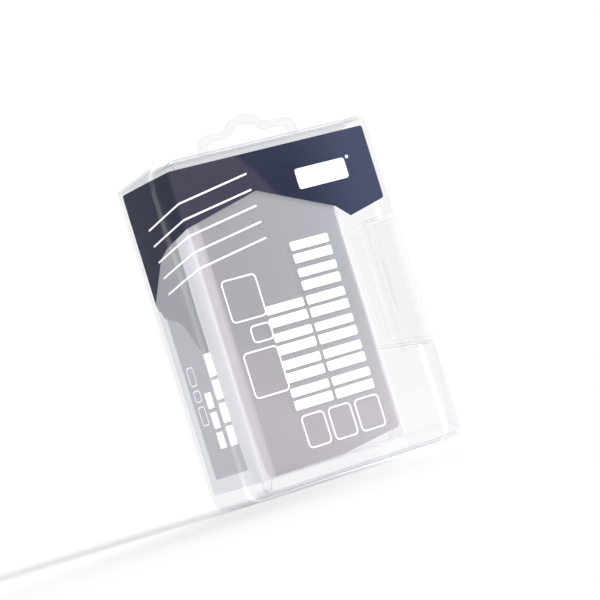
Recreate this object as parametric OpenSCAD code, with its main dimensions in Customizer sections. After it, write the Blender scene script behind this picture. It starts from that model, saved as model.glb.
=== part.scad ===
// Detailing clay bar in its hinged plastic hang case.
// Millimetres. X across the case from hinge side to latch side, Y from front to back, Z up.
// The origin is the centre of the case's footprint, on the surface it stands on.

/* [Case] */
// Width across the rims
case_w = 82.8; // [80:0.4:86]
// Height from the base to the top of the rims
case_h = 115; // [110:1:125]
// Depth of the front shell (the lid)
lid_d = 12.2; // [11:0.2:14]
// Depth of the rear shell (the tray)
tray_d = 25.3; // [23.3:0.5:33.3]
// Thickness of the moulded walls
wall = 0.8; // [0.8:0.1:1.1]
// Radius of the corners seen from the front
corner_r = 5.5; // [4:0.5:8]
// Radius of the tray's upright and top rear edges
rear_r = 1.5; // [1.4:0.1:3]
// Radius of the tray's bottom rear edge
heel_r = 7; // [4:0.5:8]
// Radius of the lid's front edges
front_r = 1; // [0.6:0.1:2]
// How far the sides lean in from rim to end
side_draft = 0.2; // [0.2:0.1:0.8]
// How far the tray's top slopes down to the rear
top_draft = 2; // [1:0.5:3]

/* [Rims] */
// Thickness of each rim
rim_t = 1.2; // [1:0.1:1.5]
// How far the rims stand out from the walls
rim_out = 0.8; // [0.6:0.1:1]
// Gap between the closed rims
rim_gap = 0.1; // [0.05:0.05:0.2]

/* [Hang tab] */
// Width of the hanging slot
slot_w = 33; // [30:1:34]
// Height of the slot's shoulders above the case
slot_shoulder = 3.5; // [3:0.5:5]
// Height of the slot's raised middle above the case
slot_peak = 6.8; // [6:0.2:8]
// Width of the strap around the slot
strap_w = 3.2; // [2.5:0.1:4]

/* [Latch] */
// Distance from the case's middle to the start of the latch pocket
pocket_x = 17.2; // [17.2:0.2:20]
// Bottom of the pocket at its inner end
pocket_low = 37.3; // [34:0.1:40]
// Top of the pocket at its inner end
pocket_high = 77; // [74:0.5:80]
// Depth of the pocket below the lid's face
pocket_d = 2.2; // [2:0.1:2.4]
// Gap between the flap and the pocket's ends
flap_gap = 1.3; // [1:0.1:1.6]
// Thickness of the latch flap
flap_t = 1.3; // [1.2:0.1:1.4]

/* [Clay] */
// Width of the clay bar
clay_w = 54; // [48:0.5:54]
// Thickness of the clay bar
clay_t = 12.5; // [10:0.5:14]
// Height of the clay bar
clay_h = 103.5; // [90:0.5:104]
// Thickness of the film that the bar is wrapped in
film_t = 0.2; // [0.1:0.05:0.25]

/* [Label] */
// Thickness of the clear label film
label_t = 0.2; // [0.1:0.05:0.25]
// Thickness of the printed ink, drawn thick enough to see
ink_t = 0.1; // [0.05:0.05:0.15]
// Bottom edge of the label
label_low = 6; // [5.5:0.5:14]
// Distance from the label's top edge to the top of the case
label_drop = 4.3; // [4:0.1:8]

/* [Hidden] */
arc_n = 6;
y_front = -(lid_d + tray_d) / 2;
y_part = y_front + lid_d;
y_back = y_front + lid_d + tray_d;
y_lid = y_part - rim_gap;
half_rim = case_w / 2;
half_wall = half_rim - rim_out;
top_wall = case_h - rim_out;
hinge_web_t = 0.4;
lid_base = 2 * rim_out;
label_high = case_h - label_drop;
label_right = half_rim - 4.1;
pocket_slope = 3.5;
pocket_wall_x = half_wall - 2.8;
pocket_behind = 6.5;
pocket_side_low = pocket_low - 3;
pocket_side_high = pocket_high + 2.3;
flap_face = y_front + 0.3;
flap_outer_x = half_wall - 0.7;
flap_hinge_x = pocket_x + pocket_slope + 2;
flap_hinge_y = y_front + 1;
flap_reach = 4.2;
film_hinge_t = 0.3;
clay_x = -half_wall + 5;
clay_y = y_front + 2.15;
clay_z = 6.4;
top_tighter = 1.2;
label_gap = 0.05;
seam = 0.15;
spine_x = -half_wall + side_draft + wall + 1;
slot_step = 6;
slot_top = 4.4;

// Front outline of the label sheet: it stops short of the latch pocket.
label_front_outline = [
    [-case_w, label_low], [pocket_x - 0.5, label_low], [pocket_x - 0.5, pocket_high + 2.5],
    [pocket_x + 5.3, pocket_high + 5], [label_right, pocket_high + 8.2],
    [label_right, label_high], [-case_w, label_high]];

// Dark printed field on the front: a faceted lower edge with one raised point.
navy_front_outline = [
    [-case_w, label_high - 19.5 - (case_w / 2) * 0.2], [-half_wall, label_high - 19.5],
    [-10.2, label_high - 12.8], [17.6, label_high - 24.3], [pocket_x + 5.3, pocket_high + 5],
    [label_right, pocket_high + 8.2], [label_right, label_high], [-case_w, label_high]];

// The same field round the spine, and across the back.
navy_spine_outline = [
    [y_front - 1, label_high - 19.8], [y_part + 3, label_high - 22.2],
    [y_part + 10.1, label_high - 24.6], [y_back + 1, label_high - 37.9],
    [y_back + 1, label_high], [y_front - 1, label_high]];
navy_back_outline = [
    [-case_w, label_high - 37.9], [-half_wall, label_high - 37.9], [-31.3, label_high - 45.1],
    [-27.7, label_high - 57.1], [-2, label_high - 30], [28, label_high - 40],
    [label_right - 3, label_high - 34], [label_right - 3, label_high], [-case_w, label_high]];

// Points of the arc that rounds corner b between a and c.
function fillet(a, b, c, r) = r <= 0 ? [b] :
    let (u = (a - b) / norm(a - b), v = (c - b) / norm(c - b),
         half = acos(u * v) / 2, mid = b + (u + v) / norm(u + v) * r / sin(half),
         p = b + u * r / tan(half) - mid, q = b + v * r / tan(half) - mid,
         turn = 180 - 2 * half)
    [for (i = [0 : arc_n]) let (k = i / arc_n)
        mid + (p * sin(turn * (1 - k)) + q * sin(turn * k)) / sin(turn)];

// An outline with each corner rounded to its own radius.
function rounded(pts, radii) = let (n = len(pts))
    [for (i = [0 : n - 1]) each fillet(pts[(i + n - 1) % n], pts[i], pts[(i + 1) % n], radii[i])];

function round_rect(x0, z0, x1, z1, r) =
    rounded([[x0, z0], [x1, z0], [x1, z1], [x0, z1]], [r, r, r, r]);

// Bottom and top of the latch pocket, which widens towards the latch side.
function pocket_z0(x) = pocket_low + (pocket_side_low - pocket_low) * (x - pocket_x) / (half_wall - pocket_x);
function pocket_z1(x) = pocket_high + (pocket_side_high - pocket_high) * (x - pocket_x) / (half_wall - pocket_x);

// Extrusions of an outline along each axis of the case.
module along_x(x0, x1) translate([x0, 0, 0]) rotate([90, 0, 90]) linear_extrude(x1 - x0) children();
module along_y(y0, y1) translate([0, y1, 0]) rotate([90, 0, 0]) linear_extrude(y1 - y0) children();
module along_z(z0, z1) translate([0, 0, z0]) linear_extrude(z1 - z0) children();

// The tray's solid form moved in by inset, and carried past the parting plane by extra.
module tray_form(inset, extra) {
    a = half_wall - inset;
    b = a - side_draft;
    y0 = y_part - extra;
    y1 = y_back - inset;
    z1 = top_wall - inset;
    r = rear_r - inset;
    low_r = corner_r - rim_out - inset;
    high_r = low_r - top_tighter;
    intersection() {
        along_y(y0, y1) polygon(rounded(
            [[-a, inset], [a, inset], [a, z1], [-a, z1]], [low_r, low_r, high_r, high_r]));
        along_z(-1, case_h) polygon(rounded(
            [[-a, y0], [a, y0], [a, y_part + 0.01], [b, y1], [-b, y1], [-a, y_part + 0.01]],
            [0, 0, 0, r, r, 0]));
        along_x(-case_w, case_w) polygon(rounded(
            [[y0, inset], [y1, inset], [y1, z1 - top_draft], [y_part + 0.01, z1], [y0, z1]],
            [0, heel_r - inset, r, 0, 0]));
    }
}

// The lid's solid form, in the same way.
module lid_form(inset, extra) {
    a = half_wall - inset;
    b = a - side_draft;
    y0 = y_front + inset;
    y1 = y_lid + extra;
    z0 = rim_out + inset;
    z1 = top_wall - inset;
    r = front_r - inset;
    intersection() {
        along_y(y0, y1) polygon(round_rect(-a, z0, a, z1, corner_r - rim_out - inset));
        along_z(0, case_h) polygon(rounded(
            [[-b, y0], [b, y0], [a, y_lid - 0.01], [a, y1], [-a, y1], [-a, y_lid - 0.01]],
            [r, r, 0, 0, 0, 0]));
        along_x(-case_w, case_w) polygon(rounded(
            [[y0, lid_base + inset], [y_lid - 0.01, z0], [y1, z0], [y1, z1],
             [y_lid - 0.01, z1], [y0, z1 - side_draft]],
            [r, 0, 0, 0, 0, r]));
    }
}

// A rim slab; its hinge side is set back by the thickness of the web that bridges the rims.
module rim(y0, y1) intersection() {
    along_y(y0, y1) polygon(round_rect(-half_rim, 0, half_rim, case_h, corner_r));
    translate([hinge_web_t - half_rim, y0 - 1, -1]) cube([case_w, y1 - y0 + 2, case_h + 2]);
}

// The latch pocket in the lid, grown by g to make the wall around it.
module lid_pocket(g) intersection() {
    slope = pocket_slope / pocket_d;
    along_z(0, case_h) polygon([
        [pocket_x - g - slope, y_front - 1],
        [pocket_x + pocket_slope - g, y_front + pocket_d + g],
        [pocket_wall_x - g, y_front + pocket_d + g],
        [pocket_wall_x - g, y_part + 2], [half_rim + 2, y_part + 2], [half_rim + 2, y_front - 1]]);
    along_y(y_front - 2, y_part + 3) polygon([
        [pocket_x - 6, pocket_z0(pocket_x - 6) - g], [half_rim + 3, pocket_z0(half_rim + 3) - g],
        [half_rim + 3, pocket_z1(half_rim + 3) + g], [pocket_x - 6, pocket_z1(pocket_x - 6) + g]]);
}

// The pocket's continuation in the side of the tray.
module tray_pocket(g)
    translate([pocket_wall_x - g, y_part - 2, pocket_side_low - g])
        cube([10, pocket_behind + 2 + g, pocket_side_high - pocket_side_low + 2 * g]);

module rear_tray() color([0.93, 0.94, 0.95, 0.45]) difference() {
    union() {
        tray_form(0, 0);
        rim(y_part, y_part + rim_t);
    }
    difference() {
        tray_form(wall, 2);
        tray_pocket(wall);
    }
    tray_pocket(0);
}

module lid() color([0.95, 0.96, 0.97, 0.35]) difference() {
    union() {
        lid_form(0, 0);
        rim(y_lid - rim_t, y_lid);
    }
    difference() {
        lid_form(wall, 2);
        lid_pocket(wall);
    }
    lid_pocket(0);
}

// Strap around the hanging slot, with half-width w, shoulders at z1 and a raised middle at z2.
function slot_outline(w, z1, z2, r) = rounded(
    [[-w, case_h], [-w, z1], [-slot_step - (w - slot_w / 2) / 2, z1], [-w / slot_top, z2],
     [w / slot_top, z2], [slot_step + (w - slot_w / 2) / 2, z1], [w, z1], [w, case_h]],
    [0, r, r, r * 0.8, r * 0.8, r, r, 0]);

module hang_tab() color([0.93, 0.94, 0.95, 0.45]) difference() {
    along_y(y_part, y_part + rim_t) polygon(slot_outline(
        slot_w / 2 + strap_w, case_h + slot_shoulder + strap_w * 0.75,
        case_h + slot_peak + strap_w, 3.2));
    along_y(y_part - 1, y_part + rim_t + 1) translate([0, -0.01]) polygon(slot_outline(
        slot_w / 2, case_h + slot_shoulder, case_h + slot_peak, 2));
}

// The film hinge between the rims, each half carried by its own shell.
module hinge_web(y0, y1) color([0.93, 0.94, 0.95, 0.45])
    translate([-half_rim, y0, corner_r + 3])
        cube([hinge_web_t, y1 - y0, case_h - 2 * corner_r - 6]);

// Wedge on the tray that the latch's bead snaps behind.
module latch_catch() color([0.9, 0.91, 0.93, 0.6])
    along_z(pocket_low + 11, pocket_high - 11) polygon([
        [pocket_wall_x, y_part + 1.2], [pocket_wall_x + 0.55, y_part + 1.6],
        [pocket_wall_x + 0.55, y_part + 2.2], [pocket_wall_x, y_part + 2.6]]);

// The flap: a plate over the pocket and a leg that wraps round the side of the case.
module latch_flap() color([0.93, 0.94, 0.95, 0.45]) intersection() {
    x0 = flap_hinge_x + 0.25;
    x2 = flap_outer_x;
    y2 = y_part + flap_reach;
    along_z(0, case_h) polygon(rounded([
        [x0, flap_hinge_y - 0.2], [x0 + 0.85, flap_face], [x2, flap_face], [x2, y2],
        [x2 - flap_t, y2], [x2 - flap_t, flap_face + flap_t], [x0 + 0.85, flap_face + flap_t],
        [x0, flap_hinge_y + 0.2]], [0, 0, 1.5, 0.5, 0.3, 0.4, 0, 0]));
    along_y(y_front - 2, y_back) polygon([
        [x0, pocket_z0(x0) + flap_gap], [x2, pocket_z0(x2) + flap_gap],
        [x2, pocket_z1(x2) - flap_gap], [x0, pocket_z1(x0) - flap_gap]]);
}

// Bead inside the end of the flap's leg.
module latch_bead() color([0.9, 0.91, 0.93, 0.6])
    along_z(pocket_low + 10, pocket_high - 10) polygon([
        [flap_outer_x - flap_t, y_part + 2.6], [flap_outer_x - flap_t, y_part + 3.7],
        [flap_outer_x - flap_t - 0.15, y_part + 3.4], [flap_outer_x - flap_t - 0.15, y_part + 2.9]]);

// Thin film that joins the pocket's sloping wall to the flap.
module latch_film_hinge() color([0.9, 0.91, 0.93, 0.6]) {
    x0 = pocket_x + pocket_slope * (1 + film_hinge_t / 2) / pocket_d + 0.05;
    translate([x0, flap_hinge_y - film_hinge_t / 2, pocket_low + flap_gap])
        cube([flap_hinge_x - 0.1 - x0, film_hinge_t, pocket_high - pocket_low - 2 * flap_gap]);
}

// The clay bar, a soft pressed slab with rounded edges.
module clay_block(g) translate([clay_x - g, clay_y - g, clay_z - g]) {
    w = clay_w + 2 * g;
    t = clay_t + 2 * g;
    h = clay_h + 2 * g;
    intersection() {
        along_y(0, t) polygon(round_rect(0, 0, w, h, 2));
        along_z(0, h) polygon(round_rect(0, 0, w, t, 2));
        along_x(0, w) polygon(round_rect(0, 0, t, h, 2));
    }
}

module clay_bar() color([0.7, 0.69, 0.71]) clay_block(0);

// Clear film around the clay: a sleeve, closed below, with a flat seal folded down behind, which
// stands on the tray's floor.
module clay_film() color([0.85, 0.85, 0.92, 0.3]) {
    difference() {
        clay_block(0.05 + film_t);
        clay_block(0.05);
        translate([clay_x + 3, clay_y + 3, clay_z + clay_h - 1]) cube([clay_w - 6, clay_t - 6, 4]);
    }
    translate([clay_x + 2, y_part + rim_t + 0.3, wall + 0.05])
        cube([clay_w - 4, film_t, clay_z - wall - 0.05 - film_t]);
}

// A sheet against the inside of the lid, between two distances from its wall.
module lid_sheet(near, far) difference() {
    intersection() {
        lid_form(wall + label_gap + near, 0);
        children();
        translate([-case_w, y_front - 2, 0]) cube([2 * case_w, lid_d + 2 - rim_gap - seam, case_h]);
    }
    lid_form(wall + label_gap + far, 1);
}

// The same against the inside of the tray.
module tray_sheet(near, far) difference() {
    intersection() {
        tray_form(wall + label_gap + near, 0);
        children();
        translate([-case_w, y_part + seam, 0]) cube([2 * case_w, tray_d + 2, case_h]);
    }
    tray_form(wall + label_gap + far, 1);
}

module left_of(x) translate([x - case_w, -case_w, 0]) cube([case_w, 2 * case_w, case_h]);
module right_of(x) translate([x, -case_w, 0]) cube([case_w, 2 * case_w, case_h]);

module label_front() color([0.9, 0.92, 0.95, 0.25])
    lid_sheet(0, label_t) along_y(-case_w, case_w) polygon(label_front_outline);

module label_rear() color([0.9, 0.92, 0.95, 0.25])
    tray_sheet(0, label_t) along_y(-case_w, case_w) polygon([
        [-case_w, label_low], [label_right - 3, label_low],
        [label_right - 3, label_high], [-case_w, label_high]]);

module navy_print_front() color([0.2, 0.22, 0.33]) lid_sheet(label_t, label_t + ink_t) {
    union() {
        intersection() {
            along_y(-case_w, case_w) polygon(navy_front_outline);
            right_of(spine_x);
        }
        intersection() {
            along_x(-case_w, case_w) polygon(navy_spine_outline);
            left_of(spine_x);
        }
    }
}

module navy_print_rear() color([0.2, 0.22, 0.33]) tray_sheet(label_t, label_t + ink_t) {
    union() {
        intersection() {
            along_y(-case_w, case_w) polygon(navy_back_outline);
            right_of(spine_x);
        }
        intersection() {
            along_x(-case_w, case_w) polygon(navy_spine_outline);
            left_of(spine_x);
        }
    }
}

rear_tray();
hang_tab();
hinge_web(y_part + 0.05, y_part + rim_t);  // tray_hinge_web
latch_catch();
clay_bar();
clay_film();
label_rear();
navy_print_rear();
lid();
hinge_web(y_lid - rim_t, y_part - 0.05);  // lid_hinge_web
label_front();
navy_print_front();
latch_film_hinge();
latch_flap();
latch_bead();
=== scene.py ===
import bmesh
import bpy
import math
from mathutils import Matrix, Vector, noise


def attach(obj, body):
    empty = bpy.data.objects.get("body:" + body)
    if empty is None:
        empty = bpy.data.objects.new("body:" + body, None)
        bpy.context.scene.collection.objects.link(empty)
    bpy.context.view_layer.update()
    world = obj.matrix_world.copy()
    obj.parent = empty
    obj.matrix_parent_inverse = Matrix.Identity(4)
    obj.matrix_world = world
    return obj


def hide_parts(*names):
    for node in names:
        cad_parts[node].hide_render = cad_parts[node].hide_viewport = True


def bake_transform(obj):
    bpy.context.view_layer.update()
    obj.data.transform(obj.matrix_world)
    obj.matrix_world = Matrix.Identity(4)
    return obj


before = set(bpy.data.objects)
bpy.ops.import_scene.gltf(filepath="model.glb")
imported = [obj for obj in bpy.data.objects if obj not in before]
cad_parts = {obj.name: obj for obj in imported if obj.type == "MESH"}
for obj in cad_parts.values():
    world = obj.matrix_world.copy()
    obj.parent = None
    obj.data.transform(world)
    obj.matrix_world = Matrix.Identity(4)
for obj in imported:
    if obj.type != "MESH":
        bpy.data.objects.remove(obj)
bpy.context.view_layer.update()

# The camera, the floor and the studio light.
# A long lens close to the table looks up a little at the standing case and is rolled to one side.
# Wide soft boxes in front and behind on the right add to an even white surround.
yaw, pitch, roll = (math.radians(a) for a in (31.5, 2.48, -17.23))
ahead = Vector((math.sin(yaw) * math.cos(pitch), math.cos(yaw) * math.cos(pitch), math.sin(pitch)))
level = Vector((math.cos(yaw), -math.sin(yaw), 0))
above = level.cross(ahead)
right = math.cos(roll) * level + math.sin(roll) * above
up = math.cos(roll) * above - math.sin(roll) * level
lens = bpy.data.cameras.new("camera")
lens.sensor_width = 36
lens.lens = 157.46
lens.clip_start, lens.clip_end = 0.01, 30
camera = bpy.data.objects.new("camera", lens)
camera.matrix_world = Matrix.Translation((-0.4564, -0.7521, 0.022)) @ Matrix(
    (right, up, -ahead)).transposed().to_4x4()
bpy.context.collection.objects.link(camera)
bpy.context.scene.camera = camera
bpy.context.scene.view_settings.view_transform = "Standard"
bpy.context.scene.cycles.transparent_max_bounces = 40
bpy.context.scene.cycles.max_bounces = 10

world = bpy.data.worlds.new("white surround")
world.use_nodes = True
surround = world.node_tree.nodes["Background"]
surround.inputs["Color"].default_value = (1, 1, 1, 1)
seen = world.node_tree.nodes.new("ShaderNodeLightPath")
level_of = world.node_tree.nodes.new("ShaderNodeMath")
level_of.operation = "MULTIPLY_ADD"
level_of.inputs[1].default_value, level_of.inputs[2].default_value = 0.43, 0.58
world.node_tree.links.new(seen.outputs["Is Camera Ray"], level_of.inputs[0])
world.node_tree.links.new(level_of.outputs[0], surround.inputs["Strength"])
bpy.context.scene.world = world

for name, energy, spread, towards in (("front soft box", 1.65, 38, (-0.55, 0.60, -0.47)),
                                      ("back soft box", 1.5, 34, (-0.66, -0.74, -0.48))):
    softbox = bpy.data.lights.new(name, "SUN")
    softbox.energy, softbox.angle = energy, math.radians(spread)
    lamp = bpy.data.objects.new(name, softbox)
    lamp.rotation_euler = Vector(towards).to_track_quat("-Z", "Y").to_euler()
    bpy.context.collection.objects.link(lamp)


class Value:
    """A socket's output, so that shader maths reads as plain sums."""

    def __init__(self, finish, socket):
        self.finish, self.socket = finish, socket

    def sum(self, operation, first, second):
        return self.finish.add("Math", {0: first, 1: second}, operation=operation)

    def __add__(self, other): return self.sum("ADD", self, other)
    def __radd__(self, other): return self.sum("ADD", other, self)
    def __sub__(self, other): return self.sum("SUBTRACT", self, other)
    def __rsub__(self, other): return self.sum("SUBTRACT", other, self)
    def __mul__(self, other): return self.sum("MULTIPLY", self, other)
    def __rmul__(self, other): return self.sum("MULTIPLY", other, self)
    def __pow__(self, other): return self.sum("POWER", self, other)
    def __gt__(self, other): return self.sum("GREATER_THAN", self, other)
    def __lt__(self, other): return self.sum("LESS_THAN", self, other)


class Finish:
    """A material that is put together node by node."""

    def __init__(self, name):
        self.material = bpy.data.materials.new(name)
        self.material.use_nodes = True
        self.tree = self.material.node_tree
        self.tree.nodes.clear()

    def add(self, kind, sockets={}, out=0, **settings):
        node = self.tree.nodes.new("ShaderNode" + kind)
        for key, setting in settings.items():
            setattr(node, key, setting)
        for key, given in sockets.items():
            if isinstance(given, Value):
                self.tree.links.new(given.socket, node.inputs[key])
            else:
                socket = node.inputs[key]
                if hasattr(given, "__len__") and socket.type == "RGBA":
                    given = (*given, 1)
                socket.default_value = given
        if isinstance(out, tuple):
            return [Value(self, node.outputs[i]) for i in out]
        return Value(self, node.outputs[out])

    def coat(self, shader):
        self.add("OutputMaterial", {"Surface": shader}, out=())
        return self.material


def srgb(red, green, blue):
    return tuple(((c / 255 + 0.055) / 1.055) ** 2.4 for c in (red, green, blue))


table_finish = Finish("table")
table_place = table_finish.add("TexCoord", out=3)
table_grain = table_finish.add("TexNoise", {"Vector": table_place, "Scale": 9.0, "Detail": 3.0})
table_colour = table_finish.add("Mix", {0: table_grain, 6: srgb(251, 251, 252), 7: srgb(253, 253, 253)},
                                out=2, data_type="RGBA")
table_top = table_finish.coat(table_finish.add(
    "BsdfPrincipled", {"Base Color": table_colour, "Roughness": 0.8, "Specular IOR Level": 0.0}))
bm = bmesh.new()
bmesh.ops.create_circle(bm, cap_ends=True, segments=96, radius=9)
table_mesh = bpy.data.meshes.new("table")
bm.to_mesh(table_mesh)
bm.free()
table = bpy.data.objects.new("table", table_mesh)
table_mesh.materials.append(table_top)
bpy.context.collection.objects.link(table)


# The tray: the deep rear half of the case, one moulding in clear polypropylene.
# Its walls lean in to the rear so that it leaves the mould, and its rear edges are well rounded.
# The latch pocket is a notch in its right wall.
MM = 0.001
FRONT, PARTING, BACK = -18.75, -6.55, 18.75
WALL = 0.8
HALF_WALL, HALF_RIM, TOP_WALL, TOP_RIM = 40.6, 41.4, 114.2, 115.0
DRAFT, TOP_DRAFT = 0.2, 2
WALL_R, TRAY_TOP_R, REAR_R, HEEL_R = 4.7, 3.5, 1.5, 7
SOFT_EDGE = 0.2
POCKET_WALL, POCKET_FLOOR_DEPTH = 37.8, 2.2
POCKET_START, POCKET_RUN = 17.2, 23.4


def clear_plastic(name, haze, edge, shade, rough=0.28, clear=(0.989, 0.989, 0.990), bright=None):
    """Frosted see-through plastic: haze is how milky it is face on, edge how much more along its edges.
    A clear colour above 1, and bright where it is 1, lighten what lies behind. Real plastic can't; they
    stand in for light gathered in a thick edge."""
    finish = Finish(name)
    place = finish.add("TexCoord", out=3)
    cloud = finish.add("TexNoise", {"Vector": place, "Scale": 90.0, "Detail": 4.0, "Roughness": 0.6})
    grain = finish.add("TexNoise", {"Vector": place, "Scale": 900.0, "Detail": 2.0})
    facing = finish.add("LayerWeight", {"Blend": 0.5}, out=1)
    rim = facing ** 4
    milk = haze * (0.75 + 0.5 * cloud) + edge * rim
    # Seen edge-on, what lies behind turns grey by the shade setting: painted shade along silhouettes and
    # edges.
    see = finish.add("MixShader", {
        0: rim * shade, 1: finish.add("BsdfTransparent", {"Color": clear}),
        2: finish.add("BsdfTransparent", {"Color": (0.68, 0.70, 0.73)})})
    if bright:
        see = finish.add("MixShader", {
            0: bright(finish, place), 1: see,
            2: finish.add("BsdfTransparent", {"Color": (1.05, 1.05, 1.05)})})
    bump = finish.add("Bump", {"Height": grain, "Strength": 0.05, "Distance": 0.0002})
    solid = finish.add("BsdfPrincipled", {
        "Base Color": srgb(232, 232, 233), "Roughness": rough + 0.08 * cloud, "IOR": 1.49, "Normal": bump})
    return finish.coat(finish.add("MixShader", {0: milk, 1: see, 2: solid}))


def piece(name, bm, finish, body=None, replaces=()):
    """Turns millimetre mesh work into a finished object, which rides on a body when one is given."""
    bmesh.ops.scale(bm, vec=(MM, MM, MM), verts=bm.verts)
    mesh = bpy.data.meshes.new(name)
    bm.to_mesh(mesh)
    bm.free()
    mesh.shade_smooth()
    mesh.set_sharp_from_angle(angle=math.radians(38))
    made = bpy.data.objects.new(name, mesh)
    made.data.materials.append(finish)
    bpy.context.collection.objects.link(made)
    if body:
        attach(made, body)
    if replaces:
        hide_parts(*replaces)
    return made


def thicken(made, thickness, soften=0.0, steps=2, offset=-1.0):
    wall = made.modifiers.new("wall", "SOLIDIFY")
    wall.thickness, wall.offset = thickness * MM, offset
    wall.use_even_offset = True
    if soften:
        edge = made.modifiers.new("edge", "BEVEL")
        edge.width, edge.segments, edge.limit_method = soften * MM, steps, "ANGLE"
        edge.angle_limit = math.radians(40)
        edge.harden_normals = True
    return made


def evaluated(bm, kind, **settings):
    """Runs one modifier on mesh work and gives the result back as mesh work."""
    mesh = bpy.data.meshes.new("work")
    bm.to_mesh(mesh)
    bm.free()
    work = bpy.data.objects.new("work", mesh)
    bpy.context.collection.objects.link(work)
    step = work.modifiers.new("step", kind)
    for key, setting in settings.items():
        setattr(step, key, setting)
    bpy.context.view_layer.update()
    done = bmesh.new()
    done.from_object(work, bpy.context.evaluated_depsgraph_get())
    bpy.data.objects.remove(work)
    bpy.data.meshes.remove(mesh)
    return done


def moulded_box(y_open, y_end, half_open, half_end, low_open, low_end, high_open, high_end,
                low_r, high_r, end_r, heel=0):
    """A closed box that leans in from its open side to its end; each group of edges has its own radius."""
    bm = bmesh.new()
    bmesh.ops.create_cube(bm, size=2)
    for v in bm.verts:
        opening = v.co.y < 0 if y_open < y_end else v.co.y > 0
        half = half_open if opening else half_end
        low, high = (low_open, high_open) if opening else (low_end, high_end)
        v.co = (half * v.co.x, y_open if opening else y_end, high if v.co.z > 0 else low)
    if heel:
        heel_edge = [e for e in bm.edges if all(v.co.y == y_end and v.co.z < 9 for v in e.verts)]
        bmesh.ops.bevel(bm, geom=heel_edge, affect="EDGES", offset=heel, segments=8,
                        profile=0.5, material=-1)
    share = bm.edges.layers.float.new("bevel_weight_edge")
    for e in bm.edges:
        a, b = (v.co for v in e.verts)
        across = abs(a.x - b.x) > 1
        if all(abs(p.y - y_open) < 1e-3 for p in (a, b)):
            continue
        at_end = all(abs(p.y - y_end) < 1e-3 for p in (a, b))
        if across:
            radius = end_r if at_end and not (heel and a.z < 9) else 0
        elif at_end:
            radius = end_r
        elif abs(a.y - b.y) > 8:
            radius = low_r if a.z < 50 else high_r
        else:
            radius = (low_r + end_r) / 2
        e[share] = radius / low_r
    bm = evaluated(bm, "BEVEL", width=low_r, segments=8, limit_method="WEIGHT")
    bmesh.ops.recalc_face_normals(bm, faces=bm.faces)
    return bm


def pocket_low(x):
    return 37.3 - 3.0 * (x - POCKET_START) / POCKET_RUN


def pocket_high(x):
    return 77.0 + 2.3 * (x - POCKET_START) / POCKET_RUN


def outline_prism(outline, low, high):
    """A closed solid on an outline across the case, between two heights that may slope along it."""
    bm = bmesh.new()
    face = bm.faces.new([bm.verts.new((x, y, 0)) for x, y in outline])
    raised = bmesh.ops.extrude_face_region(bm, geom=[face])
    tops = {v for v in raised["geom"] if isinstance(v, bmesh.types.BMVert)}
    for v in bm.verts:
        v.co.z = high(v.co.x) if v in tops else low(v.co.x)
    bmesh.ops.recalc_face_normals(bm, faces=bm.faces)
    return bm


def carve(bm, cutter):
    """Takes the cutter's volume out of a closed box."""
    mesh = bpy.data.meshes.new("cutter")
    cutter.to_mesh(mesh)
    cutter.free()
    tool = bpy.data.objects.new("cutter", mesh)
    bpy.context.collection.objects.link(tool)
    carved = evaluated(bm, "BOOLEAN", operation="DIFFERENCE", solver="EXACT", object=tool)
    bpy.data.objects.remove(tool)
    bpy.data.meshes.remove(mesh)
    return carved


def open_side(bm, y):
    """Takes away the faces on the parting plane, which leaves a shell."""
    bmesh.ops.delete(bm, geom=[f for f in bm.faces if all(abs(v.co.y - y) < 1e-3 for v in f.verts)],
                     context="FACES")
    bmesh.ops.remove_doubles(bm, verts=bm.verts, dist=1e-4)
    return bm


def painted_edge_highlight(finish, place):
    """The upright front edges, where the wall turns and is thickest; a painted highlight lightens what is
    seen through them.
    """
    x, y = finish.add("SeparateXYZ", {0: place}, out=(0, 1))
    return (finish.add("Math", {0: x}, operation="ABSOLUTE") > 0.0394) * (y < -0.0172)


# The case wall carries a painted highlight down its upright front edges.
case_clear = clear_plastic("clear case wall", haze=0.007, edge=0.12, shade=0.8, bright=painted_edge_highlight)
tray_bm = moulded_box(PARTING, BACK, HALF_WALL, HALF_WALL - DRAFT, 0, 0, TOP_WALL, TOP_WALL - TOP_DRAFT,
                      WALL_R, TRAY_TOP_R, REAR_R, heel=HEEL_R)
notch = [(POCKET_WALL, -12), (46, -12), (46, -0.05), (POCKET_WALL, -0.05)]
tray_bm = carve(tray_bm, outline_prism(notch, lambda x: 34.3, lambda x: 79.3))
thicken(piece("tray_shell", open_side(tray_bm, PARTING), case_clear, "tray",
              replaces=["rear_tray"]), WALL, SOFT_EDGE)


# The rims: a square flange moulded round the open edge of each half.
# They stand out from the walls and meet on the parting plane; at the latch they are cut away.
# Down the hinge side they are set back to leave room for the film hinge.
LID_EDGE = PARTING - 0.1
RIM_DEPTH, RIM_R, RIM_AT_HINGE = 1.2, 5.5, -41.0
# The rims' clear colour above 1 is a painted highlight: it lightens whatever is seen through them.
rim_clear = clear_plastic("clear rim", haze=0.015, edge=0.15, shade=0.2, rough=0.22,
                          clear=(1.065, 1.065, 1.06))


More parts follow.
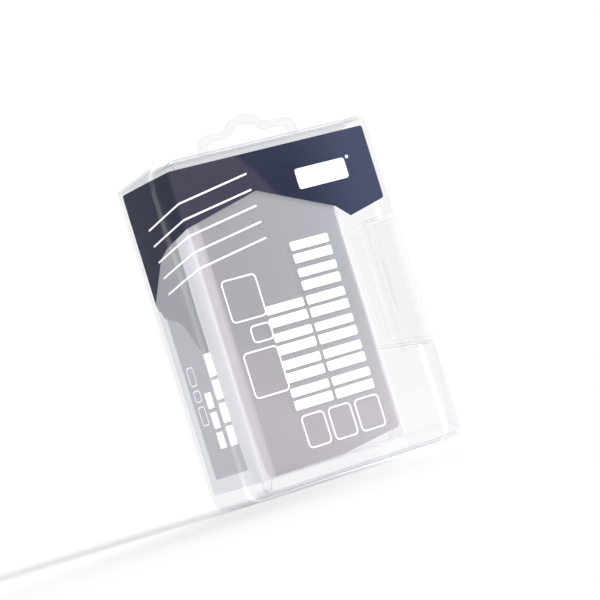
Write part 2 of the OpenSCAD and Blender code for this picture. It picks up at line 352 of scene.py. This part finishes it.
def rim(name, y0, y1, body):
    bm = bmesh.new()
    bmesh.ops.create_cube(bm, size=2)
    for v in bm.verts:
        v.co = (HALF_RIM * v.co.x, y1 if v.co.y > 0 else y0, TOP_RIM if v.co.z > 0 else 0)
    bmesh.ops.bevel(bm, geom=[e for e in bm.edges if abs(e.verts[0].co.y - e.verts[1].co.y) > 1],
                    affect="EDGES", offset=RIM_R, segments=12, profile=0.5, material=-1)
    bmesh.ops.delete(bm, geom=[f for f in bm.faces if abs(f.normal.y) > 0.9], context="FACES")
    for z in (pocket_low(40), pocket_high(40)):
        bmesh.ops.bisect_plane(bm, geom=bm.verts[:] + bm.edges[:] + bm.faces[:],
                               plane_co=(0, 0, z), plane_no=(0, 0, 1))
    bmesh.ops.delete(bm, geom=[
        f for f in bm.faces if f.calc_center_median().x > 40.4
        and pocket_low(40) < f.calc_center_median().z < pocket_high(40)], context="FACES")
    for v in bm.verts:
        v.co.x = max(v.co.x, RIM_AT_HINGE)
    thicken(piece(name, bm, rim_clear, body), WALL, 0.18)


rim("tray_rim", PARTING, PARTING + RIM_DEPTH, "tray")


# The hang tab: a strap bent round the slot that a display hook goes through.
# It is moulded on the tray's rim and lies in the rim's plane.
def slot_line(bm, half, shoulder, peak, step, bends, y):
    """The slot's outline, from its left foot over the shoulders and the raised middle to its right foot."""
    corners = [(-half, 114.9), (-half, shoulder), (-step, shoulder), (-half / 4.4, peak),
               (half / 4.4, peak), (step, shoulder), (half, shoulder), (half, 114.9)]
    line = [bm.verts.new((x, y, z)) for x, z in corners]
    for a, b in zip(line, line[1:]):
        bm.edges.new((a, b))
    for pair, bend in zip(((1, 6), (2, 5), (3, 4)), bends):
        bmesh.ops.bevel(bm, geom=[line[i] for i in pair], affect="VERTICES", offset=bend, segments=6,
                        profile=0.5, material=-1)


tab_bm = bmesh.new()
slot_line(tab_bm, 19.7, 120.9, 125.0, 7.8, (4.4, 2.2, 3.6), PARTING)
slot_line(tab_bm, 16.5, 118.5, 121.8, 6.2, (2.6, 1.6, 2.8), PARTING)
bmesh.ops.bridge_loops(tab_bm, edges=tab_bm.edges[:])
raised = bmesh.ops.extrude_face_region(tab_bm, geom=tab_bm.faces[:])
bmesh.ops.translate(tab_bm, vec=(0, RIM_DEPTH, 0),
                    verts=[v for v in raised["geom"] if isinstance(v, bmesh.types.BMVert)])
bmesh.ops.recalc_face_normals(tab_bm, faces=tab_bm.faces)
tab_clear = clear_plastic("clear hang tab", haze=0.06, edge=0.30, shade=0.6, rough=0.25,
                          clear=(0.975, 0.975, 0.975))
hang_tab = piece("hang_tab_strap", tab_bm, tab_clear, "tray", replaces=["hang_tab"])
tab_edge = hang_tab.modifiers.new("edge", "BEVEL")
tab_edge.width, tab_edge.segments, tab_edge.limit_method = 0.3 * MM, 3, "ANGLE"
tab_edge.harden_normals = True


# The lid: the shallow front half of the case, moulded in the same clear plastic.
# A pocket for the latch is sunk into its right side: a sloping wall, a flat floor and an inner wall.
LID_FRONT_R = 1.0
POCKET_FLOOR = FRONT + POCKET_FLOOR_DEPTH
lid_bm = moulded_box(LID_EDGE, FRONT, HALF_WALL, HALF_WALL - DRAFT, 0.8, 1.6, TOP_WALL,
                     TOP_WALL - DRAFT, WALL_R, WALL_R, LID_FRONT_R)
lid_bm = carve(lid_bm, outline_prism(
    [(15.61, FRONT - 1), (20.7, POCKET_FLOOR), (POCKET_WALL, POCKET_FLOOR), (POCKET_WALL, PARTING + 2),
     (44, PARTING + 2), (44, FRONT - 1)], pocket_low, pocket_high))
thicken(piece("lid_shell", open_side(lid_bm, LID_EDGE), case_clear, "lid", replaces=["lid"]), WALL, SOFT_EDGE)
rim("lid_rim", LID_EDGE - RIM_DEPTH, LID_EDGE, "lid")


# The case hinge: a thin strip of the same plastic down the left side, flexed once when it was warm.
# It joins the two rims and bends as the case opens.
web_clear = clear_plastic("clear hinge web", haze=0.03, edge=0.20, shade=0.3, rough=0.2)
web_bm = bmesh.new()
bmesh.ops.create_grid(web_bm, x_segments=14, y_segments=12, size=1)
for v in web_bm.verts:
    v.co = (-41.38, PARTING - 0.05 + 1.2 * v.co.x, 57.5 + 49 * v.co.y)
bmesh.ops.recalc_face_normals(web_bm, faces=web_bm.faces)
for f in web_bm.faces:
    if f.normal.x > 0:
        f.normal_flip()
bmesh.ops.solidify(web_bm, geom=web_bm.faces[:], thickness=0.34)
web = piece("case_hinge_web", web_bm, web_clear, replaces=["tray_hinge_web", "lid_hinge_web"])
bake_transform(web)


# The latch: an angle that lies over the pocket and wraps round the edge, with a bead in its end.
# It is moulded with the lid and turns on a film hinge at the pocket's sloping wall.
# It snaps over the catch, a small lip on the tray.
# The latch's clear colour a little above 1 is a faint painted highlight, slightly pink.
flap_clear = clear_plastic("clear latch", haze=0.03, edge=0.25, shade=0.5, rough=0.25,
                           clear=(1.006, 1.003, 1.003))
flap_bm = bmesh.new()
profile = [flap_bm.verts.new((x, y, 0)) for x, y in
           ((23.1, FRONT + 0.3), (39.9, FRONT + 0.3), (39.9, PARTING + 4.2))]
for a, b in zip(profile, profile[1:]):
    flap_bm.edges.new((a, b))
bmesh.ops.bevel(flap_bm, geom=profile[1:2], affect="VERTICES", offset=1.6, segments=6,
                profile=0.5, material=-1)
raised = bmesh.ops.extrude_edge_only(flap_bm, edges=flap_bm.edges[:])
upper = {v for v in raised["geom"] if isinstance(v, bmesh.types.BMVert)}
for v in flap_bm.verts:
    v.co.z = pocket_high(v.co.x) - 1.3 if v in upper else pocket_low(v.co.x) + 1.3
bmesh.ops.recalc_face_normals(flap_bm, faces=flap_bm.faces)
if min(flap_bm.faces, key=lambda f: f.calc_center_median().y).normal.y > 0:
    bmesh.ops.reverse_faces(flap_bm, faces=flap_bm.faces)
thicken(piece("latch_cover", flap_bm, flap_clear, "latch", replaces=["latch_flap"]), 1.3, 0.3, 3)

film_bm = bmesh.new()
bmesh.ops.create_grid(film_bm, x_segments=12, y_segments=6, size=1)
for v in film_bm.verts:
    v.co = (21.7 + 1.6 * v.co.x, FRONT + 1.0, 57.15 + 18.4 * v.co.y)
bmesh.ops.recalc_face_normals(film_bm, faces=film_bm.faces)
for f in film_bm.faces:
    if f.normal.y > 0:
        f.normal_flip()
bmesh.ops.solidify(film_bm, geom=film_bm.faces[:], thickness=0.3)
latch_film = piece("latch_hinge_film", film_bm, web_clear, replaces=["latch_film_hinge"])
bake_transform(latch_film)

for name in ("latch_catch", "latch_bead"):
    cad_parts[name].data.materials.clear()
    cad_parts[name].data.materials.append(web_clear)


# The clay bar: a pressed slab of kneaded detailing clay, soft and slightly uneven at its edges.
# It stands in the case on the folded end of its wrapping. Its colour carries a gradient and a
# near-white hinge side, which stand in for light that the case passes on to it.
clay_finish = Finish("detailing clay")
place = clay_finish.add("TexCoord", out=3)
marble = clay_finish.add("TexNoise", {"Vector": place, "Scale": 28.0, "Detail": 5.0, "Distortion": 0.6})
pores = clay_finish.add("TexNoise", {"Vector": place, "Scale": 900.0, "Detail": 3.0})
clay_x, clay_z = clay_finish.add("SeparateXYZ", {0: place}, out=(0, 2))
warm = clay_finish.add("Mix", {0: marble, 6: srgb(154, 150, 150), 7: srgb(163, 159, 158)},
                       out=2, data_type="RGBA")
cool = clay_finish.add("MapRange", {"Value": clay_x + 0.25 * (clay_z - 0.06), "From Min": -0.012,
                                    "From Max": 0.020}, interpolation_type="SMOOTHSTEP")
clay_colour = clay_finish.add("Mix", {0: cool, 6: warm, 7: srgb(142, 149, 154)}, out=2, data_type="RGBA")
low = clay_finish.add("MapRange", {"Value": clay_z + 0.012 * marble, "From Min": 0.078, "From Max": 0.016},
                      interpolation_type="SMOOTHSTEP")
near_hinge = clay_finish.add("MapRange", {"Value": clay_x, "From Min": -0.018, "From Max": -0.034},
                             interpolation_type="SMOOTHSTEP")
lit = clay_finish.add("Math", {0: low + 0.2 * near_hinge, 1: 1.0}, operation="MINIMUM")
clay_colour = clay_finish.add("Mix", {0: lit, 6: clay_colour, 7: srgb(190, 184, 186)},
                              out=2, data_type="RGBA")
hinge_side = clay_finish.add("MapRange", {"Value": clay_x, "From Min": -0.0336, "From Max": -0.0352})
clay_colour = clay_finish.add("Mix", {0: hinge_side, 6: clay_colour, 7: srgb(240, 234, 237)},
                              out=2, data_type="RGBA")
clay_bump = clay_finish.add("Bump", {"Height": 0.3 * pores + marble, "Strength": 0.25, "Distance": 0.0008})
clay_material = clay_finish.coat(clay_finish.add("BsdfPrincipled", {
    "Base Color": clay_colour, "Roughness": 0.55 + 0.12 * marble, "Subsurface Weight": 0.05,
    "Subsurface Scale": 0.002, "Normal": clay_bump}))


CLAY_X, CLAY_Y = -8.6, -10.35
CLAY_HALF_WIDTH, CLAY_HALF_DEPTH = 27.0, 6.25
CLAY_LOW, CLAY_HIGH = 6.3, 109.9
CLAY_SEED = 1
clay_bm = bmesh.new()
bmesh.ops.create_cube(clay_bm, size=2)
for v in clay_bm.verts:
    v.co = (CLAY_X + CLAY_HALF_WIDTH * v.co.x, CLAY_Y + CLAY_HALF_DEPTH * v.co.y,
            CLAY_HIGH if v.co.z > 0 else CLAY_LOW)
bmesh.ops.bevel(clay_bm, geom=clay_bm.edges[:], affect="EDGES", offset=1.7, segments=5,
                profile=0.5, material=-1)
for axis, places in ((0, range(-32, 16, 4)), (2, range(10, 108, 4))):
    for at in places:
        spot, way = [0, 0, 0], [0, 0, 0]
        spot[axis], way[axis] = at, 1
        bmesh.ops.bisect_plane(clay_bm, geom=clay_bm.verts[:] + clay_bm.edges[:] + clay_bm.faces[:],
                               plane_co=spot, plane_no=way)
noise.seed_set(CLAY_SEED)
for v in clay_bm.verts:
    share = (CLAY_HIGH - v.co.z) / (CLAY_HIGH - CLAY_LOW)
    v.co.z += 3.4 * share ** 6 * max(0, (v.co.x + 8) / 26) ** 0.8
    v.co.x += 0.8 * (0.2 - share) * max(0, (v.co.x + 20) / 38)
    wander = noise.noise_vector(v.co * 0.09)
    v.co += Vector((0.45, 0.18, 0.45)) * 0.6 * wander.x if abs(v.co.y - CLAY_Y) > 5 else wander * 0.3
clay = piece("clay_slab", clay_bm, clay_material, "tray", replaces=["clay_bar"])
clay_smooth = clay.modifiers.new("soft", "SUBSURF")
clay_smooth.levels = clay_smooth.render_levels = 1


# The bar's wrapping: thin clear film drawn round it, sealed and folded under it, with a faint tint.
# It stands off the bar on the hinge side. A faint glow stands in for the light that film scatters.
HAZE_LIMIT = 0.46
film_finish = Finish("tinted wrap film")
place = film_finish.add("TexCoord", out=3)
crease = film_finish.add("TexNoise", {"Vector": place, "Scale": 120.0, "Detail": 3.0, "Distortion": 1.5})
facing = film_finish.add("LayerWeight", {"Blend": 0.5}, out=1)
wrap_clear = film_finish.add("BsdfTransparent", {"Color": (0.980, 0.976, 0.980)})
wrap_bump = film_finish.add("Bump", {"Height": crease, "Strength": 0.35, "Distance": 0.0006})
wrap_gloss = film_finish.add("BsdfPrincipled", {
    "Base Color": srgb(233, 229, 233), "Roughness": 0.3, "Normal": wrap_bump,
    "Emission Color": (1.0, 0.98, 1.0), "Emission Strength": 0.34})
wrap_milk = film_finish.add("Math", {0: 0.01 + 0.03 * crease + 1.9 * facing ** 2, 1: HAZE_LIMIT},
                            operation="MINIMUM")
wrap_material = film_finish.coat(film_finish.add("MixShader", {0: wrap_milk, 1: wrap_clear, 2: wrap_gloss}))
WRAP_LOW, WRAP_HIGH = 5.9, 110.2
wrap_bm = bmesh.new()
bmesh.ops.create_cube(wrap_bm, size=2)
for v in wrap_bm.verts:
    v.co = (-8.45 + 27.5 * v.co.x, CLAY_Y + 6.5 * v.co.y, WRAP_HIGH if v.co.z > 0 else WRAP_LOW)
bmesh.ops.bevel(wrap_bm, geom=wrap_bm.edges[:], affect="EDGES", offset=1.6, segments=4,
                profile=0.5, material=-1)
for at in range(10, 108, 6):
    bmesh.ops.bisect_plane(wrap_bm, geom=wrap_bm.verts[:] + wrap_bm.edges[:] + wrap_bm.faces[:],
                           plane_co=(0, 0, at), plane_no=(0, 0, 1))
for v in wrap_bm.verts:
    v.co.x += 0.25 * noise.noise(v.co * 0.12)
    if v.co.x < -32:
        v.co.x -= 1.7 * math.sin(math.pi * (v.co.z - WRAP_LOW) / (WRAP_HIGH - WRAP_LOW)) ** 0.4
thicken(piece("clay_wrap", wrap_bm, wrap_material, "tray", replaces=["clay_film"]), 0.06)
fold_bm = bmesh.new()
bmesh.ops.create_grid(fold_bm, x_segments=24, y_segments=4, size=1)
for v in fold_bm.verts:
    v.co = (CLAY_X + 24.9 * v.co.x, -5.0 + 0.5 * math.sin(v.co.x * 7) * (1 - v.co.y) / 2, 3.7 + 2.6 * v.co.y)
thicken(piece("clay_wrap_seal", fold_bm, wrap_material, "tray"), 0.1)


# The printed sleeve: one sheet of clear film inside the case, folded round the clay.
# It runs over the front, round the hinge side and across the back, and is die-cut beside the latch.
# Lengths along it are counted from the front: x on the front, then on round the two folds.
FOLD_1 = -39.2
FOLD_2 = FOLD_1 - 35.8


def sleeve_place(s, z, inward):
    """Where a point of the flat sheet comes to lie, a little inward of the case's inner wall."""
    def side(y):
        run, drop, radius = (25.3, 2.0, 2.7) if y > PARTING else (12.2, 0.2, 3.9)
        out = abs(y - PARTING) / run
        rise = min(max(0.0, z - (113.4 - inward - drop * out - radius)), radius)
        return -39.8 + inward + 0.2 * out + 0.3 * (radius - math.sqrt(radius ** 2 - rise ** 2))

    near, far = FRONT + WALL + inward, BACK - WALL - inward
    for fold, radius, straight_y, turn in ((FOLD_1, 0.5, near, -1), (FOLD_2, 1.0, far, 1)):
        if abs(s - fold) < radius:
            angle = (s - fold + radius) / (2 * radius) * math.pi / 2
            centre_x = side(straight_y - turn * radius) + radius
            centre_y = straight_y - turn * radius
            if turn < 0:
                return Vector((centre_x - radius * math.cos(angle), centre_y - radius * math.sin(angle), z))
            return Vector((centre_x - radius * math.sin(angle), centre_y + radius * math.cos(angle), z))
    if s >= FOLD_1:
        return Vector((s, near, z))
    if s > FOLD_2:
        y = near + (FOLD_1 - s) * (far - near) / (FOLD_1 - FOLD_2)
        return Vector((side(y), y, z))
    return Vector((FOLD_1 + (FOLD_2 - s), far, z))


def lay_in(bm, inward):
    """Creases a flat printed shape at the folds and lays it against the inside of the case."""
    cuts = [FOLD_1 + 0.5 - 0.125 * i for i in range(9)] + [FOLD_2 + 1 - 0.25 * i for i in range(9)]
    cuts += [FOLD_1 - 11.35 + 2.0 - 0.4 * i for i in range(11)] + [FOLD_1 - 3, FOLD_1 - 18, FOLD_1 - 26]
    for s in cuts:
        bmesh.ops.bisect_plane(bm, geom=bm.verts[:] + bm.edges[:] + bm.faces[:],
                               plane_co=(s, 0, 0), plane_no=(1, 0, 0))
    for z in (107.6, 108.4, 109.2, 109.8, 110.3):
        bmesh.ops.bisect_plane(bm, geom=bm.verts[:] + bm.edges[:] + bm.faces[:],
                               plane_co=(0, 0, z), plane_no=(0, 0, 1))
    bmesh.ops.triangulate(bm, faces=[f for f in bm.faces if len(f.verts) > 4])
    for v in bm.verts:
        v.co = sleeve_place(v.co.x, v.co.z, inward)
    return bm


def flat_shape(bm, outline):
    """A face on the flat sheet."""
    face = bm.faces.new([bm.verts.new((s, 0, z)) for s, z in outline])
    face.normal_update()
    if face.normal.y > 0:
        face.normal_flip()
    return face


def bent(made):
    """Bakes a layer of the sleeve into its place; it rides on neither the tray nor the lid."""
    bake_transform(made)


label_finish = Finish("clear label film")
place = label_finish.add("TexCoord", out=3)
ripple = label_finish.add("TexNoise", {"Vector": place, "Scale": 40.0, "Detail": 2.0})
facing = label_finish.add("LayerWeight", {"Blend": 0.5}, out=1)
label_clear = label_finish.add("BsdfTransparent", {"Color": (0.975, 0.977, 0.982)})
# The film's faint emission is a painted glow that stands in for light the film scatters.
label_gloss_and_glow = label_finish.add("BsdfPrincipled", {
    "Base Color": srgb(222, 226, 234), "Roughness": 0.4, "Emission Color": (1, 1, 1),
    "Emission Strength": 0.18,
    "Normal": label_finish.add("Bump", {"Height": ripple, "Strength": 0.1, "Distance": 0.0005})})
label_milk = label_finish.add("Math", {0: 0.12 + 0.04 * ripple + 1.3 * facing ** 2, 1: HAZE_LIMIT},
                              operation="MINIMUM")
label_material = label_finish.coat(label_finish.add("MixShader", {
    0: label_milk, 1: label_clear, 2: label_gloss_and_glow}))
sheet_bm = bmesh.new()
flat_shape(sheet_bm, [(FOLD_2 - 71, 6.0), (16.9, 6.0), (16.9, 79.5), (22.5, 82.0), (37.3, 85.2),
                      (37.3, 110.7), (FOLD_2 - 71, 110.7)])
bent(piece("sleeve_film", lay_in(sheet_bm, 0.20), label_material,
           replaces=["label_front", "label_rear"]))


# The navy field printed on the sleeve: a faceted band across the top, deeper on the far side.
# Over a slanted patch at the left of the front, it reads warmer and a little lighter.
navy_finish = Finish("navy ink")
place = navy_finish.add("TexCoord", out=3)
along, across, height = navy_finish.add("SeparateXYZ", {0: place}, out=(0, 1, 2))
cloud = navy_finish.add("TexNoise", {"Vector": place, "Scale": 110.0, "Detail": 4.0, "Roughness": 0.55})
warm_patch = navy_finish.add("MapRange", {
    "Value": 0.755 * (0.1103 - height) - 0.0132 - along + 0.007 * (cloud - 0.5),
    "From Min": -0.0012, "From Max": 0.0012}, interpolation_type="SMOOTHSTEP")
on_front = across < -0.0165
navy_plain = navy_finish.add("Mix", {0: cloud, 6: srgb(36, 41, 65), 7: srgb(41, 46, 72)},
                             out=2, data_type="RGBA")
toward_latch = navy_finish.add("MapRange", {"Value": along, "From Min": 0.002, "From Max": 0.034},
                               interpolation_type="SMOOTHSTEP")
navy_plain = navy_finish.add("Mix", {0: toward_latch * on_front, 6: navy_plain, 7: srgb(67, 73, 102)},
                             out=2, data_type="RGBA")
navy_colour = navy_finish.add("Mix", {0: warm_patch * on_front * 0.9, 6: navy_plain, 7: srgb(68, 64, 84)},
                              out=2, data_type="RGBA")
navy_ink = navy_finish.coat(navy_finish.add("BsdfPrincipled", {
    "Base Color": navy_colour, "Roughness": 0.35 + 0.1 * cloud, "Specular IOR Level": 0.08}))
navy_bm = bmesh.new()
flat_shape(navy_bm, [
    (FOLD_2 - 71, 76.7), (FOLD_2 - 65, 70.7), (FOLD_2 - 35.6, 80.7), (FOLD_2 - 12.6, 50.6),
    (FOLD_2 - 9.4, 59.1), (FOLD_2 - 7.7, 64.0), (FOLD_2 - 1.9, 67.4), (FOLD_2 - 0.4, 71.5),
    (FOLD_1 - 22.3, 85.5), (FOLD_1 - 16.4, 87.9), (FOLD_1, 91.2), (-10.2, 97.9), (17.6, 86.4),
    (22.5, 82.0), (36.3, 84.98), (37.0, 85.3), (37.3, 86.0), (37.3, 109.9), (37.1, 110.4), (36.5, 110.7),
    (FOLD_2 - 71, 110.7)])
bent(piece("navy_print", lay_in(navy_bm, 0.12), navy_ink,
           replaces=["navy_print_front", "navy_print_rear"]))


# The pale grey field printed on the back of the sleeve, below the navy.
# It is one layer of matt ink, and it stays with the tray when the case opens.
grey_finish = Finish("pale grey ink")
place = grey_finish.add("TexCoord", out=3)
speckle = grey_finish.add("TexNoise", {"Vector": place, "Scale": 300.0, "Detail": 2.0})
grey_colour = grey_finish.add("Mix", {0: speckle, 6: srgb(220, 221, 223), 7: srgb(226, 227, 228)},
                              out=2, data_type="RGBA")
grey_ink = grey_finish.coat(grey_finish.add("BsdfPrincipled", {
    "Base Color": grey_colour, "Roughness": 0.5}))
grey_bm = bmesh.new()
flat_shape(grey_bm, [(FOLD_2 - 68, 10.8), (FOLD_2 - 2.5, 10.8), (FOLD_2 - 2.5, 68), (FOLD_2 - 68, 68)])
piece("grey_print", lay_in(grey_bm, 0.09), grey_ink, "tray")


# The white print: plain bars, outlined blocks and evenly spaced lines that run round the fold.
# It is the top layer of ink, printed opaque, and it bends with the sleeve at the case hinge.
white_finish = Finish("white ink")
place = white_finish.add("TexCoord", out=3)
speckle = white_finish.add("TexNoise", {"Vector": place, "Scale": 500.0, "Detail": 2.0})
white_colour = white_finish.add("Mix", {0: speckle, 6: srgb(246, 246, 247), 7: srgb(252, 252, 252)},
                                out=2, data_type="RGBA")
# The ink's emission is a painted glow that lifts the white print above how it is lit.
glowing_white_ink = white_finish.coat(white_finish.add("BsdfPrincipled", {
    "Base Color": white_colour, "Roughness": 0.4, "Emission Color": (1, 1, 1), "Emission Strength": 0.42}))


def bar(bm, s0, z0, s1, z1, soft=0.5):
    """A solid bar with softened corners."""
    face = flat_shape(bm, [(s0, z0), (s1, z0), (s1, z1), (s0, z1)])
    bmesh.ops.bevel(bm, geom=face.verts[:], affect="VERTICES", offset=soft, segments=3,
                    profile=0.5, material=-1)


def frame_bar(bm, s0, z0, s1, z1, line=0.5, soft=1.6):
    """An outlined block: the bar's face is inset and its middle taken out."""
    before = set(bm.faces)
    bar(bm, s0, z0, s1, z1, soft)
    middle = [f for f in bm.faces if f not in before]
    bmesh.ops.inset_region(bm, faces=middle, thickness=line, use_boundary=True, use_even_offset=True)
    bmesh.ops.delete(bm, geom=middle, context="FACES")


def stroke(bm, start, end, line):
    """A straight printed line."""
    a, b = Vector(start), Vector(end)
    along = (b - a).normalized()
    side = Vector((-along.y, along.x)) * line / 2
    a, b = a - along * line * 0.4, b + along * line * 0.4
    flat_shape(bm, [a - side, b - side, b + side, a + side])


white_bm = bmesh.new()
at = 24.7
for thick, gap in ((3.2, 1.2), (2.9, 2.1), (3.2, 1.1), (3.0, 1.9), (3.2, 1.3), (2.8, 2.0), (3.2, 1.2),
                   (3.0, 1.9), (3.2, 1.3), (2.9, 1.9), (3.1, 1.2), (3.0, 0)):
    bar(white_bm, -4.0, at, 11.3, at + thick)
    at += thick + gap
at = 24.8
for thick, gap in ((3.2, 1.2), (2.9, 2.0), (3.2, 1.2), (3.0, 2.0), (3.2, 1.2), (2.9, 2.0), (3.2, 1.2),
                   (2.9, 0)):
    bar(white_bm, -20.3, at, -5.2, at + thick)
    at += thick + gap
for s0, s1 in ((-19.6, -10.4), (-9.0, 0.2), (1.6, 11.5)):
    frame_bar(white_bm, s0, 11.6, s1, 22.8)
for z0, z1, s0 in ((32.0, 47.5, -33.5), (49.5, 55.5, -28.0), (57.5, 72.0, -33.5)):
    frame_bar(white_bm, s0, z0, -19.9, z1)
bar(white_bm, 6.3, 94.6, 26.4, 101.6, 0.9)
bar(white_bm, 27.2, 101.0, 28.3, 102.1, 0.3)
for step in range(5):
    stroke(white_bm, (-12, 104 - 5.5 * step), (FOLD_1 - 24, 96 - 5.5 * step), 0.6)
for z0, z1 in ((20.2, 26.8), (28.0, 34.6), (35.8, 42.4), (43.6, 51.4)):
    bar(white_bm, FOLD_1 - 13.6, z0, FOLD_1 - 8.8, z1, 0.5)
for z0, z1 in ((20.2, 25.8), (27.0, 32.6), (33.8, 39.2)):
    bar(white_bm, FOLD_1 - 21.0, z0, FOLD_1 - 16.4, z1, 0.5)
for z0, z1 in ((29.0, 35.5), (37.0, 41.0), (42.5, 49.0)):
    frame_bar(white_bm, FOLD_1 - 28.0, z0, FOLD_1 - 23.4, z1, 0.35, 1.0)
for row, length in enumerate((44, 47, 39, 46, 28, 0, 45, 42, 47, 33, 0, 46, 40, 22)):
    if length:
        bar(white_bm, FOLD_2 - 14 - length, 63.0 - 3.4 * row, FOLD_2 - 14, 64.2 - 3.4 * row, 0.3)
bar(white_bm, FOLD_2 - 61, 92.0, FOLD_2 - 41, 99.0, 0.9)
bent(piece("white_print", lay_in(white_bm, 0.06), glowing_white_ink))
